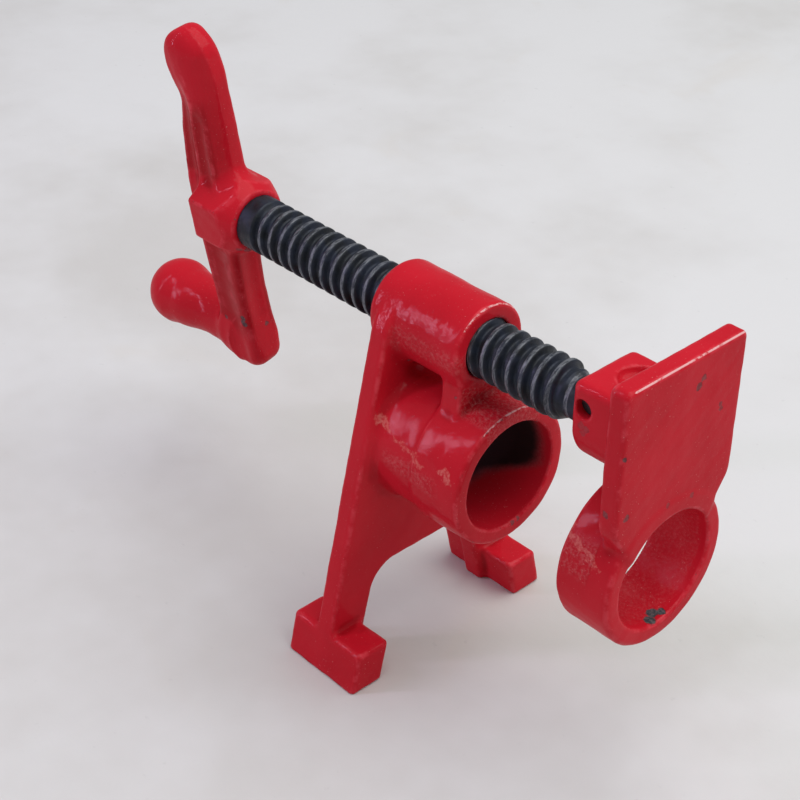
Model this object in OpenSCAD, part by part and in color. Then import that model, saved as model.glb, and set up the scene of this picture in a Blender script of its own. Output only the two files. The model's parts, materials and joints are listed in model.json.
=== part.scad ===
// Screw head of a woodworking pipe clamp: a cast head on two feet, a clamp screw with its
// crank, and the cast jaw that the screw pushes along the pipe.
// X runs along the screw, from the crank (-X) to the jaw (+X). Z is up.
// The origin is the centre of the pipe bore, in the front rim of the head's pipe boss.

/* [Pipe] */
// Outer diameter of the pipe that carries the head and the jaw
pipe_d = 26.7; // [24:0.1:30]
// Radial clearance of the head's smooth bore round the pipe
bore_clearance = 0.1; // [0.05:0.05:0.4]
// Radial clearance of the jaw's ring round the pipe
ring_clearance = 0.65; // [0.3:0.05:1]
// Height of the pipe thread that the head is screwed on by
pipe_thread_h = 1.15; // [0.8:0.05:1.4]
// Length of the threaded stretch at the back of the head's bore
pipe_thread_l = 12; // [8:1:16]

/* [Head] */
// Height of the screw's axis above the pipe's axis
screw_rise = 29.6; // [28:0.2:36]
// Height of the pipe's axis above the floor
pipe_rise = 57.5; // [50:0.5:70]
// Length of the head along the pipe, from the front rim to the plate's back
head_l = 32.7; // [29:0.1:40]
// Wall of the pipe boss
pipe_boss_wall = 3.9; // [3:0.1:6]
// Wall of the screw boss
screw_boss_wall = 3.55; // [3:0.05:6]
// Distance that the screw boss reaches past the plate's back
screw_boss_rear = 3.1; // [1:0.1:5]
// Distance from the pipe boss's rim back to the screw boss's front face
screw_boss_setback = 8.2; // [6:0.1:10]
// Thickness of the plate that stands on the two legs
plate_t = 5.4; // [4:0.1:8]
// Thickness of the web between the two bosses
web_t = 5; // [4:0.1:8]
// Thickness of the rib across the bosses' front
rib_t = 5.8; // [4:0.1:8]
// Width of the rib at its waist
rib_waist = 16.6; // [12:0.2:18]
// Radius of the rib's hollow sides
rib_side_r = 22; // [18:1:30]
// Height of the band that the rib makes round the front of the pipe boss
band_h = 0.6; // [0.3:0.1:1.5]

/* [Legs] */
// Width over the two feet, at the floor
stance = 64.2; // [60:0.2:80]
// Inward lean of the sides, in mm for each mm of height
side_lean = 0.228; // [0.2:0.002:0.24]
// Width of a foot, across the pipe
foot_w = 9.4; // [7:0.2:11]
// Length of a foot, along the pipe
foot_l = 23.4; // [16:0.2:30]
// Height of a foot
foot_h = 10.5; // [6:0.5:14]
// Width of a leg at the floor, across the pipe
leg_w = 11.4; // [9:0.2:13]
// Height of the arch between the legs
arch_h = 23.5; // [18:0.5:26]
// Radius of the arch's corners
arch_corner_r = 6; // [3:0.5:8]

/* [Screw] */
// Outer diameter of the thread
screw_d = 13.6; // [12:0.1:15]
// Pitch of the thread
screw_pitch = 3.7; // [3:0.1:5]
// Depth of the thread
thread_depth = 1.45; // [1:0.05:1.8]
// Radial clearance of the thread in the head
screw_clearance = 0.06; // [0.04:0.01:0.1]
// Distance from the head's rim back to the crank's front face, as photographed
crank_back = 86.6; // [80:0.2:110]
// Length of the plain shoulder in front of the crank
shoulder_l = 4.2; // [3:0.2:12]
// Distance that the thread reaches past the head's rim, as photographed
thread_front = 17.4; // [16:0.2:20]
// Length over which the thread runs out at its front end
thread_runout = 3.4; // [2:0.2:6]
// Diameter of the plain tip that turns in the jaw
tip_d = 9.5; // [8.6:0.1:10]
// Radial clearance of the tip in its socket
tip_clearance = 0.05; // [0.03:0.01:0.1]
// Depth of the tip in its socket
tip_l = 9.8; // [8:0.2:12]
// Diameter of the spigot that the crank is fixed to
spigot_d = 10; // [8:0.5:11]

/* [Crank] */
// Turn of the crank about the screw, as photographed
crank_roll = 9.5; // [0:0.5:20]
// Width of the hub across its flats
hub_flats = 18.4; // [17:0.2:24]
// Length of the hub's hexagon
hub_l = 9.6; // [8:0.2:14]
// Length of the chamfer in front of the hexagon's full width
hub_cone_l = 5.2; // [3:0.2:8]
// Width of the chamfered hub's front face round the screw
hub_cone_wall = 0.8; // [0.4:0.1:2]
// Depth of the arms along the screw, to the front of their round noses
arm_t = 13.4; // [11:0.2:16]
// Width of the arms
arm_w = 9.5; // [8:0.5:12]
// Distance from the screw's axis to the upper arm's end
upper_arm_l = 49.2; // [40:0.2:60]
// Radius of the upper arm's rounded end
upper_end_r = 5; // [4.8:0.1:6]
// Distance from the screw's axis to the handle's axis
throw = 40.8; // [34:0.2:60]
// Distance from the handle's axis to the lower arm's end
lower_end = 9.4; // [7:0.2:12]
// Diameter of the handle's ball
ball_d = 17.6; // [15:0.2:24]
// Diameter of the handle's neck
neck_d = 12; // [9:0.2:14]
// Distance from the arm's back to the ball's centre
ball_reach = 23.6; // [18:0.2:34]
// Diameter of the pin that holds the crank
crank_pin_d = 4; // [3:0.1:5]

/* [Jaw] */
// Distance from the head's rim to the jaw's front face, as photographed
jaw_front = 44.4; // [42:0.2:50]
// Wall of the ring that slides on the pipe
ring_wall = 4.2; // [3:0.1:6]
// Length of the ring
ring_l = 14.4; // [10:0.2:18]
// Thickness of the pressure plate
jaw_plate_t = 4.8; // [4:0.1:8]
// Width of the pressure plate
jaw_plate_w = 36.2; // [32:0.2:44]
// Height of the pressure plate's top above the screw's axis
jaw_plate_top = 21.1; // [16:0.2:30]
// Height of the pressure plate's square part
jaw_plate_h = 33.7; // [30:0.2:44]
// Length of the socket block, from its back face to the plate
block_l = 16.4; // [14:0.2:20]
// Width of the socket block
block_w = 18.5; // [16:0.1:22]
// Height of the socket block's top above the screw's axis
block_top = 11; // [9:0.1:14]
// Diameter of the retaining pin
jaw_pin_d = 4; // [3:0.1:4.4]
// Clearance between the pin and the bottom of the tip's groove
groove_clearance = 0.1; // [0.05:0.05:0.2]
// Depth of the pin's ends below the block's sides
pin_recess = 2.2; // [0.6:0.1:3]

/* [Hidden] */

$fn = 64;
eps = 0.01;
over = 1;

// Colours
red = [0.72, 0.11, 0.13];
black_steel = [0.16, 0.17, 0.2];
steel = [0.45, 0.46, 0.48];

// Head
bore_r = pipe_d / 2 + bore_clearance;
pipe_thread_r = pipe_d / 2 - pipe_thread_h;
pipe_boss_r = bore_r + pipe_boss_wall;
screw_r = screw_d / 2;
screw_hole_r = screw_r + screw_clearance;
screw_boss_r = screw_hole_r + screw_boss_wall;
plate_back = -head_l;
plate_front = plate_back + plate_t;
lean_l = norm([1, side_lean]);
// The plate's crown touches both sides, and its top is flush with the screw boss.
crown_top = screw_rise + screw_boss_r;
crown_r = (stance / 2 - side_lean * (crown_top + pipe_rise)) / (lean_l - side_lean);
crown_z = crown_top - crown_r;
lean_a = atan(side_lean);
foot_shift = 1.2;
foot_mid_x = (plate_back + plate_front) / 2 + foot_shift;
waist_lift = 2.2;
waist_z = (pipe_boss_r + screw_rise - screw_boss_r) / 2 + waist_lift;

// Screw
hub_front = -crank_back;
hex_front = hub_front - hub_cone_l;
shoulder_front = hub_front + shoulder_l;
root_r = screw_r - thread_depth;
tip_r = tip_d / 2;
segments = 20;
crest_share = 0.2;
flank_share = 0.26;
crest_x = -45.27;
crest_a = 130;
spigot_gap = 0.3;
spigot_clearance = 0.03;
spigot_l = hub_cone_l + hub_l - 1;

// Jaw
block_back = jaw_front - jaw_plate_t - block_l;
ring_r = pipe_d / 2 + ring_clearance;
ring_out_r = ring_r + ring_wall;
socket_gap = 0.4;
jaw_pin_r = jaw_pin_d / 2;
jaw_pin_rise = 5.4;
jaw_pin_inset = 3.2;
jaw_pin_x = block_back + jaw_pin_inset;
groove_r = jaw_pin_rise - jaw_pin_r - groove_clearance;
groove_play = 0.3;
pin_clearance = 0.03;
notch_y = 14.3;
notch_z = 11.1;

// Crank
hub_r = hub_flats / 2 / cos(30);
hub_back = hex_front - hub_l;
arm_setback = 1.2;
arm_front = hex_front - arm_setback;
arm_back = arm_front - arm_t;
crank_pin_x = hex_front - hub_l / 2;
upper_end_x = arm_back + upper_end_r + arm_setback;
crank_pin_r = crank_pin_d / 2;
crank_pin_skin = 2;

// Points of an arc in the plane, from angle a0 to angle a1
function arc(centre, r, a0, a1, n = 8) =
    [for (i = [0:n]) centre + r * [cos(a0 + (a1 - a0) * i / n), sin(a0 + (a1 - a0) * i / n)]];

function mirrored(points) = [for (i = [len(points) - 1:-1:0]) [-points[i][0], points[i][1]]];

// Round bar along X
module bar(x0, x1, r) {
    translate([x0, 0, 0])
        rotate([0, 90, 0])
            cylinder(h = x1 - x0, r = r);
}

// Outline drawn in Y and Z, given a thickness along X
module slab(x0, x1) {
    translate([x0, 0, 0])
        rotate([90, 0, 90])
            linear_extrude(height = x1 - x0)
                children();
}

// Outline drawn in X and Z, given a thickness along Y, equal on both sides
module side_slab(w) {
    translate([0, w / 2, 0])
        rotate([90, 0, 0])
            linear_extrude(height = w)
                children();
}

module on_screw_axis() {
    translate([0, 0, screw_rise])
        children();
}

module crank_turn() {
    on_screw_axis()
        rotate([crank_roll, 0, 0])
            children();
}

// ---- Head casting ----

// Half the width over the sides at height z above the pipe's axis
function side_y(z) = stance / 2 - side_lean * (z + pipe_rise);

// Half the width between the legs
function arch_y(z) = stance / 2 - leg_w - side_lean * (z + pipe_rise);

module plate_outline() {
    floor_z = -pipe_rise;
    arch_z = arch_h - pipe_rise;
    corner_z = arch_z - arch_corner_r;
    corner = [arch_y(corner_z) - arch_corner_r * lean_l, corner_z];
    half = concat(
        arc([0, crown_z], crown_r, 90, lean_a, 12),
        [[side_y(floor_z), floor_z], [arch_y(floor_z), floor_z]],
        arc(corner, arch_corner_r, lean_a, 90)
    );
    polygon(concat(mirrored(half), half));
}

// side is -1 for the near foot and 1 for the far one
module foot(side) {
    top_z = foot_h - pipe_rise;
    outline = [
        [side_y(-pipe_rise), -pipe_rise],
        [side_y(top_z), top_z],
        [side_y(top_z) - foot_w, top_z],
        [side_y(-pipe_rise) - foot_w, -pipe_rise]
    ];
    slab(foot_mid_x - foot_l / 2, foot_mid_x + foot_l / 2)
        polygon([for (p = outline) [side * p[0], p[1]]]);
}

// The rib across the front of both bosses, with hollow sides
module front_rib() {
    steps = 12;
    low_z = pipe_boss_r / 3;
    side = [for (i = [0:steps])
        let (z = low_z + (screw_rise - low_z) * i / steps)
        [rib_waist / 2 + rib_side_r - sqrt(pow(rib_side_r, 2) - pow(z - waist_z, 2)), z]];
    rib_front = -screw_boss_setback;
    slab(rib_front - rib_t, rib_front)
        polygon(concat(side, mirrored(side)));
}

module head_casting() {
    color(red)
        difference() {
            union() {
                slab(plate_back, plate_front)
                    plate_outline();
                foot(-1);
                foot(1);
                bar(plate_back, 0, pipe_boss_r - band_h);
                bar(-screw_boss_setback - rib_t, 0, pipe_boss_r);
                on_screw_axis()
                    bar(plate_back - screw_boss_rear, -screw_boss_setback, screw_boss_r);
                slab(plate_back + eps, -screw_boss_setback - rib_t / 2)
                    translate([-web_t / 2, 0])
                        square([web_t, screw_rise]);
                front_rib();
            }
            bar(plate_back + pipe_thread_l, over, bore_r);
            bar(plate_back - over, over, pipe_thread_r);
            on_screw_axis()
                bar(plate_back - screw_boss_rear - over, over, screw_hole_r);
        }
}

// ---- Screw ----

// The thread's corners, point after point along the helix. A turn has four corners:
// up the rear flank, along the crest, down the front flank and along the root.
function thread_corner(s, p) =
    let (
        flank = flank_share * screw_pitch,
        crest = crest_share * screw_pitch,
        a = 360 * s / segments,
        shift = [-flank - crest / 2, -crest / 2, crest / 2, crest / 2 + flank][p],
        r = (p == 1 || p == 2) ? screw_r : root_r,
        x = thread_start + screw_pitch * s / segments + shift
    )
    [x, r * cos(a), r * sin(a)];

// A crest passes through crest_x at the angle crest_a. The helix starts inside the shoulder.
turns_back = ceil((crest_x - shoulder_front) / screw_pitch) + 1;
thread_start = crest_x - screw_pitch * (turns_back + crest_a / 360);
thread_steps = segments * ceil((thread_front - thread_start) / screw_pitch + 0.5);

module thread() {
    rows = thread_steps + segments;
    points = concat(
        [for (s = [0:rows], p = [0:3]) thread_corner(s, p)],
        [[thread_start - screw_pitch, 0, 0]],
        [[thread_start + screw_pitch * (rows / segments + 1), 0, 0]]
    );
    rear_tip = 4 * (rows + 1);
    front_tip = rear_tip + 1;
    flanks = [for (s = [0:thread_steps - 1], p = [0:3])
        let (
            a = 4 * s + p,
            b = 4 * (s + 1) + p,
            c = p < 3 ? b + 1 : 4 * (s + 1 + segments),
            d = p < 3 ? a + 1 : 4 * (s + segments)
        )
        each [[a, c, b], [a, d, c]]];
    rear_fan = [for (s = [0:segments - 1]) [rear_tip, 4 * s, 4 * (s + 1)]];
    rear_steps = [[0, 1], [1, 2], [2, 3], [3, 4 * segments]];
    rear_face = [for (e = rear_steps) [rear_tip, e[1], e[0]]];
    last = 4 * thread_steps;
    front_fan = [for (s = [thread_steps:rows - 1]) [front_tip, 4 * (s + 1), 4 * s]];
    front_steps = [[last + 1, last], [last + 2, last + 1], [last + 3, last + 2], [4 * rows, last + 3]];
    front_face = [for (e = front_steps) [front_tip, e[1], e[0]]];
    polyhedron(points, concat(flanks, rear_fan, rear_face, front_fan, front_face), convexity = 8);
}

// Space that the thread fills, with the run-out at its front end
module thread_space() {
    slack = 0.3;
    rotate([0, 90, 0])
        rotate_extrude()
            polygon([
                [0, shoulder_front - eps],
                [screw_r + slack, shoulder_front - eps],
                [screw_r + slack, thread_front - thread_runout],
                [root_r - slack, thread_front],
                [0, thread_front]
            ]);
}

module tip() {
    rotate([0, 90, 0])
        rotate_extrude()
            polygon([
                [0, thread_front - thread_runout],
                [tip_r, thread_front - thread_runout],
                [tip_r, jaw_pin_x - jaw_pin_r - groove_play],
                [groove_r, jaw_pin_x - jaw_pin_r - groove_play],
                [groove_r, jaw_pin_x + jaw_pin_r + groove_play],
                [tip_r, jaw_pin_x + jaw_pin_r + groove_play],
                [tip_r, block_back + tip_l],
                [0, block_back + tip_l]
            ]);
}

module clamp_screw() {
    color(black_steel)
        on_screw_axis()
            difference() {
                union() {
                    intersection() {
                        thread();
                        thread_space();
                    }
                    bar(hub_front + spigot_clearance, shoulder_front, screw_r);
                    bar(hub_front - spigot_l, hub_front + over, spigot_d / 2);
                    tip();
                }
                rotate([crank_roll, 0, 0])
                    cross_pin_hole();
            }
}

// ---- Crank ----

// Hole for the crank's pin. It stops short of the hub's near flat.
module cross_pin_hole() {
    hole_l = hub_flats - crank_pin_skin;
    translate([crank_pin_x, crank_pin_skin - hub_flats / 2, 0])
        rotate([-90, 0, 0])
            cylinder(h = hole_l + over, r = crank_pin_r + pin_clearance);
}

// Side view of the upper arm. It bends back and swells into its end.
module upper_arm_outline() {
    end = [upper_end_x, upper_arm_l - upper_end_r];
    r = upper_end_r;
    waist_in = 4;
    draft = 0.8;
    polygon([
        [arm_back, 0],
        [arm_back, 0.2 * end.y],
        [arm_back + waist_in, 0.74 * end.y],
        end + r * [-0.92, -0.36],
        end + r * [-0.85, 0.25],
        end + r * [-0.4, 0.6],
        end + r * [0.4, 0.4],
        end + r * [0.9, -0.3],
        [arm_front - draft, 0.7 * end.y],
        [arm_front, 0.4 * end.y],
        [arm_front, 0]
    ]);
}

module upper_end() {
    translate([upper_end_x, 0, upper_arm_l - upper_end_r])
        sphere(r = upper_end_r);
}

module lower_arm_outline() {
    draft = 0.8;
    end_r = (arm_t - draft) / 2;
    end_z = end_r - throw - lower_end;
    end_x = arm_back + draft + end_r;
    polygon(concat(
        [[arm_front, 0], [arm_front - draft, 0.65 * end_z]],
        arc([end_x, end_z], end_r, 0, -180, 12),
        [[arm_back, 0]]
    ));
}

// Bar with a round nose along its front and chamfered back corners. The side view trims it.
module arm(z0, z1) {
    nose_r = arm_w / 2;
    chamfer = 1;
    intersection() {
        side_slab(arm_w + over)
            children();
        translate([0, 0, z0])
            linear_extrude(height = z1 - z0)
                polygon(concat(
                    [[arm_back, chamfer - nose_r], [arm_back + chamfer, -nose_r]],
                    arc([arm_front - nose_r, 0], nose_r, -90, 90, 12),
                    [[arm_back + chamfer, nose_r], [arm_back, nose_r - chamfer]]
                ));
    }
}

// The handle, turned about its own axis, from inside the arm to the ball's end
module handle() {
    ball_r = ball_d / 2;
    neck_r = neck_d / 2;
    neck_x = 0.25 * ball_reach;
    shoulder_a = 25;
    neck_seat = 2;
    ball_start = ball_reach - ball_r * sin(shoulder_a);
    blend = [for (i = [0:6])
        let (t = i / 6)
        [neck_r + (ball_r * cos(shoulder_a) - neck_r) * (1 - cos(180 * t)) / 2,
         neck_x + (ball_start - neck_x) * t]];
    translate([arm_back, 0, -throw])
        rotate([0, -90, 0])
            rotate_extrude()
                polygon(concat(
                    [[0, -neck_seat], [neck_r, -neck_seat]],
                    blend,
                    arc([0, ball_reach], ball_r, 5 - shoulder_a, 90, 12)
                ));
}

// Hexagon with a chamfered front, like a nut's
module hub() {
    intersection() {
        slab(hub_back, hub_front)
            rotate(90)
                circle(r = hub_r, $fn = 6);
        rotate([0, 90, 0])
            rotate_extrude()
                polygon([
                    [0, hub_back - over],
                    [hub_r + over, hub_back - over],
                    [hub_r + over, hex_front],
                    [hub_r, hex_front],
                    [screw_r + hub_cone_wall, hub_front],
                    [0, hub_front]
                ]);
    }
}

module crank() {
    color(red)
        crank_turn()
            difference() {
                union() {
                    hub();
                    arm(0, upper_arm_l)
                        upper_arm_outline();
                    upper_end();
                    arm(-throw - lower_end, 0)
                        lower_arm_outline();
                    handle();
                }
                bar(hub_front - spigot_l - spigot_gap, hub_front + over, spigot_d / 2 + spigot_clearance);
                cross_pin_hole();
            }
}

module crank_pin() {
    end_gap = 0.3;
    pin_l = hub_flats - crank_pin_skin - end_gap - pin_recess;
    color(steel)
        crank_turn()
            translate([crank_pin_x, crank_pin_skin + end_gap - hub_flats / 2, 0])
                rotate([-90, 0, 0])
                    cylinder(h = pin_l, r = crank_pin_r);
}

// ---- Jaw ----

module jaw_plate_outline() {
    low_z = screw_rise + jaw_plate_top - jaw_plate_h;
    half = [
        [jaw_plate_w / 2, low_z + jaw_plate_h],
        [jaw_plate_w / 2, low_z],
        [notch_y, notch_z],
        [ring_r * 0.8, 0]
    ];
    polygon(concat(mirrored(half), half));
}

// End view of the socket block: flat on top, round below
module block_outline() {
    polygon(concat(
        [[-block_w / 2, block_top]],
        arc([0, 0], block_w / 2, 180, 360, 16),
        [[block_w / 2, block_top]]
    ));
}

module jaw_pin_hole(r, w) {
    translate([jaw_pin_x, 0, screw_rise + jaw_pin_rise])
        rotate([90, 0, 0])
            cylinder(h = w, r = r, center = true);
}

module jaw() {
    color(red)
        difference() {
            union() {
                slab(jaw_front - jaw_plate_t, jaw_front)
                    jaw_plate_outline();
                bar(jaw_front - ring_l, jaw_front, ring_out_r);
                on_screw_axis()
                    slab(block_back, jaw_front - jaw_plate_t / 2)
                        block_outline();
            }
            bar(jaw_front - ring_l - over, jaw_front + over, ring_r);
            on_screw_axis()
                bar(block_back - over, block_back + tip_l + socket_gap, tip_r + tip_clearance);
            jaw_pin_hole(jaw_pin_r + pin_clearance, block_w + 2 * over);
        }
}

module jaw_pin() {
    color(steel)
        jaw_pin_hole(jaw_pin_r, block_w - 2 * pin_recess);
}

head_casting();
clamp_screw();
crank();
crank_pin();
jaw();
jaw_pin();
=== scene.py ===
"""Dresses the screw head of a pipe clamp: painted castings, a black screw and the studio round them.

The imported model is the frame. The sizes that it doesn't hold are properties in metres. Inside the
fields everything is in millimetres, with small radii and the crank's outlines written where they serve.
"""

import json
import math
from functools import partial, partialmethod
from types import SimpleNamespace

import bpy
import numpy as np
from mathutils import Matrix, Vector


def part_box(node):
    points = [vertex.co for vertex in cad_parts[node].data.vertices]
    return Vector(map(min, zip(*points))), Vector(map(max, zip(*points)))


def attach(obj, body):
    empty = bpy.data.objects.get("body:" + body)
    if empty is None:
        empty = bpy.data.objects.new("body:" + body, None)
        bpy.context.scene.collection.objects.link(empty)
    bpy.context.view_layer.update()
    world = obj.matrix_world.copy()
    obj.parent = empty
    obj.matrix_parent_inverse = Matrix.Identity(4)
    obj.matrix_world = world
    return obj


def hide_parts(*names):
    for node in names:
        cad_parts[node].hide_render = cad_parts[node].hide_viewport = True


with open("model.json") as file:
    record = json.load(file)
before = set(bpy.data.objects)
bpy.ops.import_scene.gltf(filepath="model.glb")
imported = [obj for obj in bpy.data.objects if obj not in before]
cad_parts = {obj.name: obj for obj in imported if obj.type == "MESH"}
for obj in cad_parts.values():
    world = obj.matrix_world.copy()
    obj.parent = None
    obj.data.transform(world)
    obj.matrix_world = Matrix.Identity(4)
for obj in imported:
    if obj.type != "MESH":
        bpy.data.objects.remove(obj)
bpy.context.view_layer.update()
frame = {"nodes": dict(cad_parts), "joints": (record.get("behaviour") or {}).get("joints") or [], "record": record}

bl_info = {
    "name": "Pipe Clamp Head",
    "version": (1, 0, 0),
    "blender": (4, 5, 0),
    "location": "3D View > Sidebar > Pipe Clamp",
    "description": "Builds the castings, the screw and the studio of a pipe clamp's screw head",
    "category": "Add Mesh",
}

MM = 1000


# ---- What the frame gives ----

def mount(name):
    return next(m for m in frame["record"]["mounts"] if m["name"] == name)


def bore_radius(name):
    """Radius of a bore mount, in mm."""
    return mount(name)["dims"]["r_mm"]


HEAD_LOW, HEAD_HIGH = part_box("head_casting")
JAW_LOW, JAW_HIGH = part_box("jaw")
SCREW_LOW, SCREW_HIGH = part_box("clamp_screw")
CRANK_LOW, CRANK_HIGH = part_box("crank")
SPINDLE_TURN = next(j for j in frame["joints"] if j["name"] == "spindle_turn")
SCREW_RISE = SPINDLE_TURN["pos_m"][2]
SCREW_PITCH = 2 * math.pi / frame["record"]["behaviour"]["couplings"][0]["ratio"]
# In mm: the height of the screw, the bores, and the plate's back, where the pipe thread starts
RISE = SCREW_RISE * MM
BORE_R = bore_radius("pipe_bore")
THREAD_BORE_R = bore_radius("pipe_thread")
RING_R = bore_radius("jaw_ring")
THREAD_BORE_L = mount("pipe_thread")["dims"]["length_mm"]
PLATE_BACK = mount("pipe_thread")["pos_m"][0] * MM - THREAD_BORE_L / 2


# ---- Properties ----

def number(name, description, default, **more):
    return bpy.props.FloatProperty(name=name, description=description, default=default, **more)


def triple(name, description, default, **more):
    return bpy.props.FloatVectorProperty(
        name=name, description=description, default=default, **more)


length = partial(number, unit="LENGTH", precision=5)
ratio = partial(number, precision=4)
angle = partial(number, subtype="ANGLE")
place = partial(triple, unit="LENGTH", subtype="TRANSLATION", precision=5)
direction = partial(triple, subtype="DIRECTION")
colour = partial(triple, size=3, subtype="COLOR", min=0, max=1)


class HeadSizes(bpy.types.PropertyGroup):
    plate_t: length("Plate", "Thickness of the legs' plate", 0.0054)
    pipe_boss_wall: length("Pipe boss wall", "Wall of the boss round the pipe", 0.0039)
    screw_boss_r: length("Screw boss", "Radius of the boss round the screw", 0.01041)
    screw_hole_r: length("Screw hole", "Radius of the screw's hole", 0.00692)
    setback: length("Setback", "From the pipe boss's rim to the screw boss's", 0.0082)
    web_t: length("Web", "Thickness of the web between the bosses", 0.005)
    rib_t: length("Rib", "Thickness of the front rib", 0.0058)
    rib_waist: length("Rib waist", "Width of the rib at its waist", 0.0166)
    rib_side_r: length("Rib sides", "Radius of the rib's hollow sides", 0.022)
    waist_z: length("Waist height", "Height of the rib's waist over the pipe", 0.0205)
    foot_w: length("Foot width", "Width of a foot across the pipe", 0.0094)
    foot_l: length("Foot length", "Length of a foot along the pipe", 0.0234)
    foot_h: length("Foot height", "Height of a foot", 0.0105)
    leg_w: length("Leg width", "Width of a leg at the floor", 0.0114)
    arch_h: length("Arch height", "Height of the arch between the legs", 0.0235)
    arch_corner_r: length("Arch corners", "Radius of the arch's corners", 0.006)
    foot_shift: length("Foot place", "From the plate's middle to a foot's", 0.0012)
    side_lean: ratio("Side lean", "Inward lean of the plate's sides", 0.228)
    boss_rear: length("Boss rear", "Reach of the screw boss past the plate", 0.0031)
    band_h: length("Band", "Height of the band round the pipe boss", 0.0006)
    edge_r: length("Edges", "Radius of the casting's edges", 0.0011)
    rim_r: length("Rims", "Radius of the bosses' front edges", 0.0009)
    rear_r: length("Rear edge", "Radius of the screw boss's rear edge", 0.0018)
    fillet_r: length("Fillets", "Radius of the bosses' fillets", 0.0028)
    pipe_thread_h: length("Pipe thread", "Height of the pipe thread", 0.00115)
    pipe_thread_pitch: length("Pipe thread pitch", "Pitch of the pipe thread", 0.001814)
    cell: length("Cell", "Size of the skin's grid cells", 0.00058)


class JawSizes(bpy.types.PropertyGroup):
    plate_t: length("Plate", "Thickness of the pressure plate", 0.0048)
    plate_w: length("Plate width", "Width of the pressure plate", 0.0362)
    plate_h: length("Plate height", "Height of the plate's square part", 0.0337)
    notch_y: length("Notch", "Half the width at the notch above the ring", 0.0143)
    notch_z: length("Notch height", "Height of the notch over the pipe", 0.0111)
    ring_l: length("Ring length", "Length of the ring that slides on the pipe", 0.0144)
    ring_inset: length("Ring inset", "From the plate's face back to the ring's", 0.0003)
    block_w: length("Block width", "Width of the screw's block", 0.0185)
    block_top: length("Block top", "Height of the block's top above the screw", 0.011)
    socket_r: length("Socket", "Radius of the screw tip's hole", 0.00482)
    socket_l: length("Socket depth", "Depth of the screw tip's hole", 0.0102)
    pin_x: length("Pin place", "Place of the pin hole along the screw", 0.0264)
    pin_rise: length("Pin height", "Height of the pin hole above the screw", 0.0054)
    pin_hole_r: length("Pin hole", "Radius of the pin hole", 0.00215)
    edge_r: length("Edges", "Radius of the plate's edges", 0.0011)
    corner_r: length("Corners", "Radius of the plate's corners", 0.0018)
    block_edge_r: length("Block edges", "Radius of the block's edges", 0.0019)
    fillet_r: length("Fillets", "Radius of the fillets behind the plate", 0.0016)
    dent_l: length("Dent length", "Half the length of the block's dent", 0.0066)
    dent_w: length("Dent width", "Half the width of the block's dent", 0.0052)
    dent_depth: length("Dent depth", "Depth of the block's dent", 0.0029)
    cell: length("Cell", "Size of the skin's grid cells", 0.00045)


class CrankSizes(bpy.types.PropertyGroup):
    hub_flats: length("Hub", "Width across the hub's flats", 0.0184)
    hub_back: length("Hub back", "Place of the hub's back", -0.1014)
    hub_front: length("Hub front", "Place of the hexagon's front", -0.0918)
    cone_front: length("Cone front", "Place of the cone's front", -0.0866)
    cone_r: length("Cone", "Radius of the cone's front", 0.0077)
    roll: angle("Roll", "Turn of the crank about the screw, as photographed", math.radians(9.5))
    arm_w: length("Arm width", "Width of the arms", 0.0095)
    upper_l: length("Upper arm", "From the screw's axis to the upper arm's end", 0.0482)
    lower_l: length("Lower arm", "From the screw's axis to the lower arm's end", 0.0485)
    throw: length("Throw", "From the screw's axis to the handle's axis", 0.0408)
    ball_r: length("Ball", "Radius of the handle's ball", 0.0088)
    ball_x: length("Ball place", "Place of the ball's centre", -0.1296)
    neck_r: length("Neck", "Radius of the handle's neck", 0.006)
    neck_x: length("Neck place", "Place of the neck's narrow end", -0.1123)
    edge_r: length("Edges", "Radius of the crank's edges", 0.0014)
    end_r: length("Ends", "Radius of the arms' ends from the side", 0.0050)
    fillet_r: length("Fillets", "Radius of the fillets round the hub", 0.0015)
    flute_depth: length("Flutes", "Depth of the upper arm's flutes", 0.0012)
    flute_r: length("Flute radius", "Radius of the flutes", 0.0035)
    flute_gap: length("Flute place", "From the arm's middle to a flute's", 0.0027)
    cell: length("Cell", "Size of the skin's grid cells", 0.00042)


class ScrewSizes(bpy.types.PropertyGroup):
    crest_r: length("Crest", "Radius of the thread's crest", 0.0068)
    depth: length("Depth", "Depth of the thread", 0.00145)
    shoulder_back: length("Shoulder back", "Place where the shoulder meets the crank", -0.0866)
    shoulder_front: length("Shoulder front", "Place where the thread starts", -0.0824)
    thread_end: length("Thread end", "Place where the thread has run out", 0.0174)
    runout: length("Run-out", "Length of the thread's run-out", 0.0034)
    tip_r: length("Tip", "Radius of the plain tip", 0.00475)
    spigot_r: length("Spigot", "Radius of the spigot in the crank", 0.005)
    crest_x: length("Crest place", "Where a crest stands at its angle", -0.04527)
    crest_angle: angle("Crest angle", "Turn of the crest at its place", math.radians(130))


class PaintLook(bpy.types.PropertyGroup):
    enamel: colour("Enamel", "The red enamel where it is even", (0.54, 0.011, 0.023))
    # The pooled colour is also the painted shade in the crank's flutes and on its lower arm.
    pooled: colour("Pooled", "The enamel in hollows", (0.33, 0.003, 0.008))
    thin: colour("Thin", "The enamel on rubbed edges", (0.68, 0.06, 0.08))
    iron: colour("Iron", "The bare casting in a chip", (0.045, 0.05, 0.055))
    iron_light: colour("Light iron", "The lighter grains in a chip", (0.11, 0.10, 0.10))
    # The bore's dark colour is bare iron and painted shade.
    bore_iron_and_shade: colour("Bare bore", "The iron inside the bore", (0.026, 0.011, 0.011))
    dust: colour("Dust", "Pale dust on the enamel", (0.72, 0.36, 0.34))
    scuffed: colour("Scuffed", "The enamel where it is scuffed pale", (0.74, 0.25, 0.21))
    roughness: ratio("Roughness", "Roughness of the enamel under its gloss", 0.45)
    gloss: ratio("Gloss", "Weight of the clear gloss", 0.19)
    # Worn edges are rubbed pale and also carry a painted glint.
    worn: colour("Worn", "Edges rubbed pale by hands", (0.80, 0.46, 0.46))


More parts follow.
